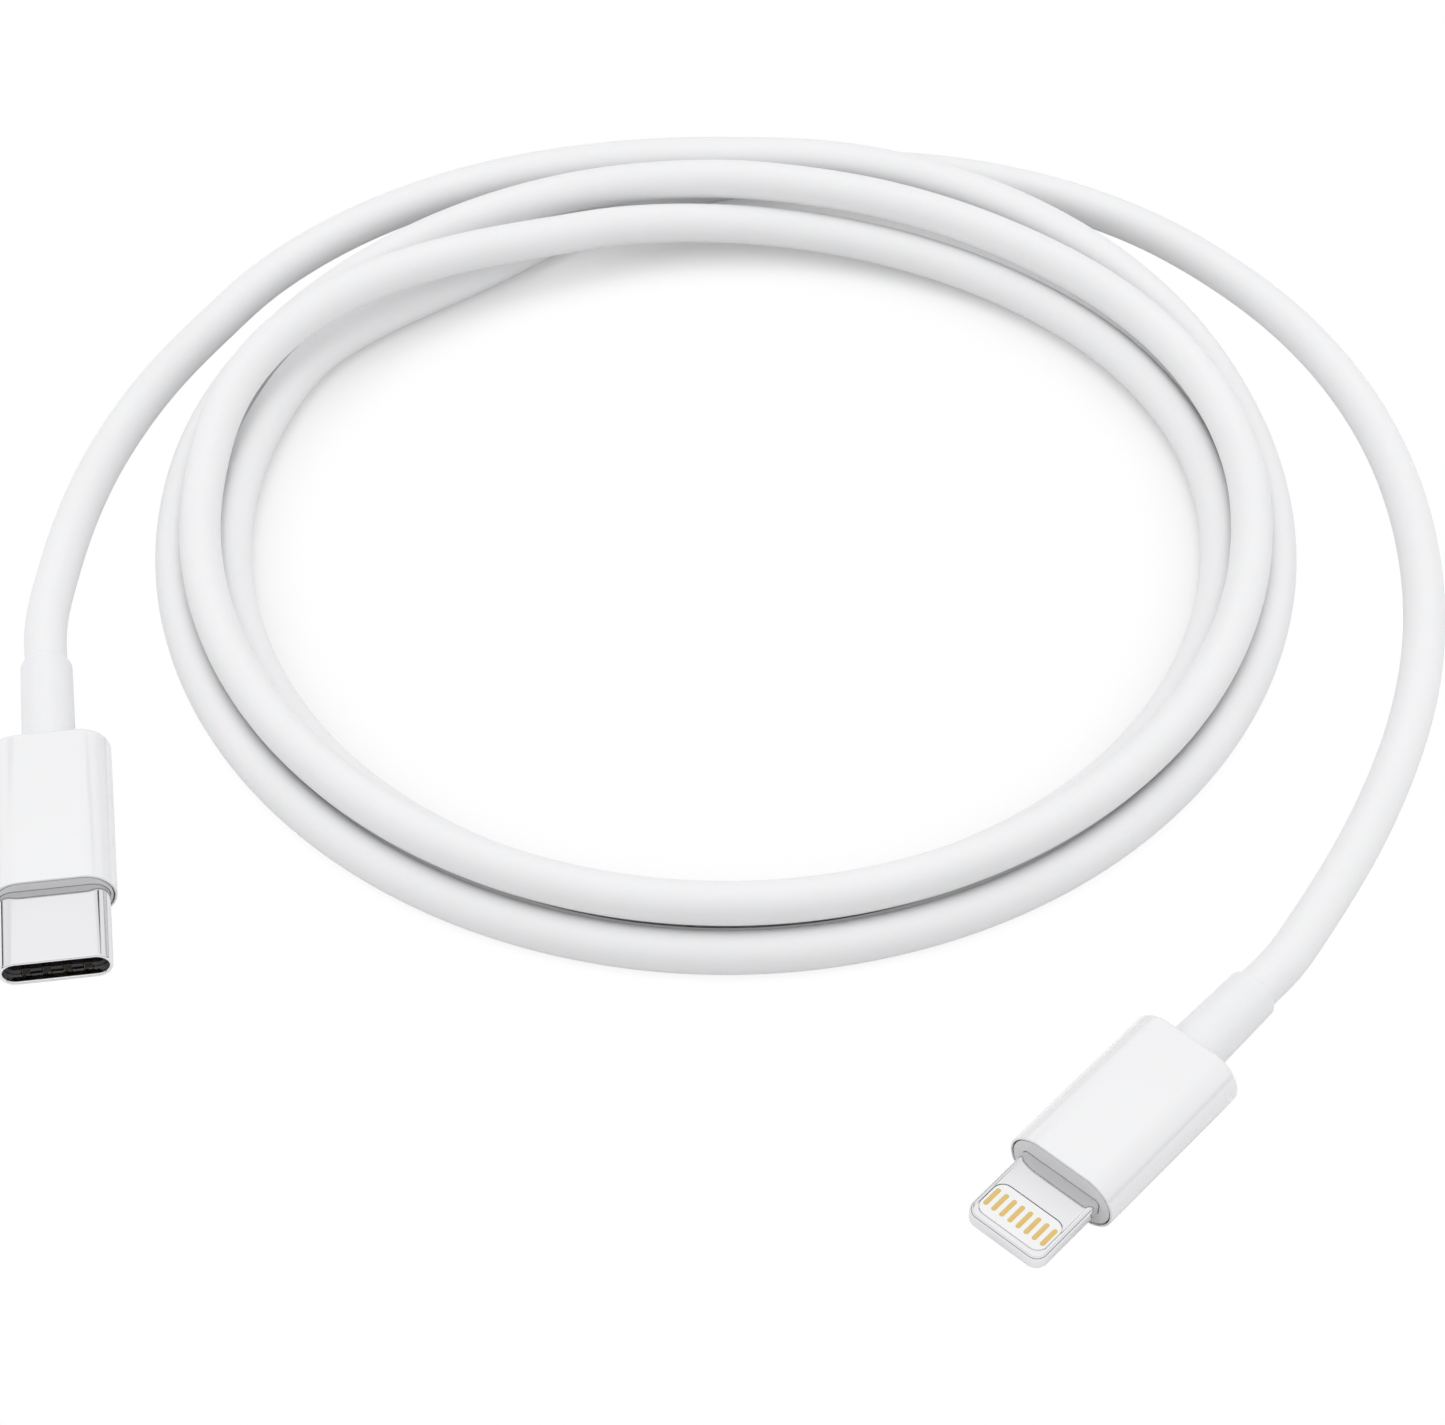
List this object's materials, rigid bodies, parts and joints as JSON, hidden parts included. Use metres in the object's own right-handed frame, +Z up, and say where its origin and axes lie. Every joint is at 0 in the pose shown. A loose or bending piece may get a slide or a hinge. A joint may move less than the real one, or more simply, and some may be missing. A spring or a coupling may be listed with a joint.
{
  "type": "charging cable",
  "caption": "Coiled round white cord with an oval hollow metal plug on one end and a flat metal tab plug with gold contact pads on the other.",
  "frame": {"origin": "on the resting surface, midway between the two plugs", "axes": "+X runs across both plugs, from the oval plug towards the tab plug; +Y runs away from the plugs towards the far side of the coil; +Z is up"},
  "size_m": [0.1133, 0.1153, 0.0081],
  "materials": {
    "polished_steel": "polished nickel-plated steel",
    "spring_steel": "bright spring steel sheet",
    "dark_steel": "darkened spring steel sheet",
    "can_steel": "tinned steel sheet",
    "crimp_steel": "tinned steel ring",
    "gold": "gold-plated copper alloy",
    "braid_copper": "copper braid",
    "gloss_white": "glossy white moulded plastic",
    "plate_grey": "satin light grey plastic",
    "jacket_white": "soft satin white jacket",
    "carrier_white": "satin white plastic",
    "liner_black": "matt black plastic",
    "mould_ivory": "ivory sealing plastic",
    "board_green": "green lacquered board",
    "chip_black": "black epoxy",
    "wire_red": "red insulation",
    "wire_white": "white insulation",
    "wire_green": "green insulation",
    "wire_black": "black insulation"
  },
  "bodies": {
    "root": {"oval_shell": "polished_steel", "oval_insulator": "liner_black", "oval_contacts_upper": "gold", "oval_contacts_lower": "gold", "oval_side_latches": "spring_steel", "oval_ground_springs": "dark_steel", "oval_front_plate": "plate_grey", "oval_board": "board_green", "oval_chips": "chip_black", "oval_wire_red": "wire_red", "oval_wire_white": "wire_white", "oval_wire_green": "wire_green", "oval_wire_black": "wire_black", "oval_shield_can": "can_steel", "oval_inner_mould": "mould_ivory", "oval_core_end": "braid_copper", "oval_crimp_ring": "crimp_steel", "oval_housing": "gloss_white", "oval_strain_relief": "gloss_white", "tab_frame": "polished_steel", "tab_insulator": "carrier_white", "tab_contacts_upper": "gold", "tab_contacts_lower": "gold", "tab_front_plate": "plate_grey", "tab_board": "board_green", "tab_chips": "chip_black", "tab_wire_red": "wire_red", "tab_wire_white": "wire_white", "tab_wire_green": "wire_green", "tab_wire_black": "wire_black", "tab_shield_can": "can_steel", "tab_inner_mould": "mould_ivory", "tab_core_end": "braid_copper", "tab_crimp_ring": "crimp_steel", "tab_housing": "gloss_white", "tab_strain_relief": "gloss_white", "cord_lead_oval": "jacket_white", "cord_coil": "jacket_white", "cord_lead_tab": "jacket_white"}
  },
  "joints": []
}
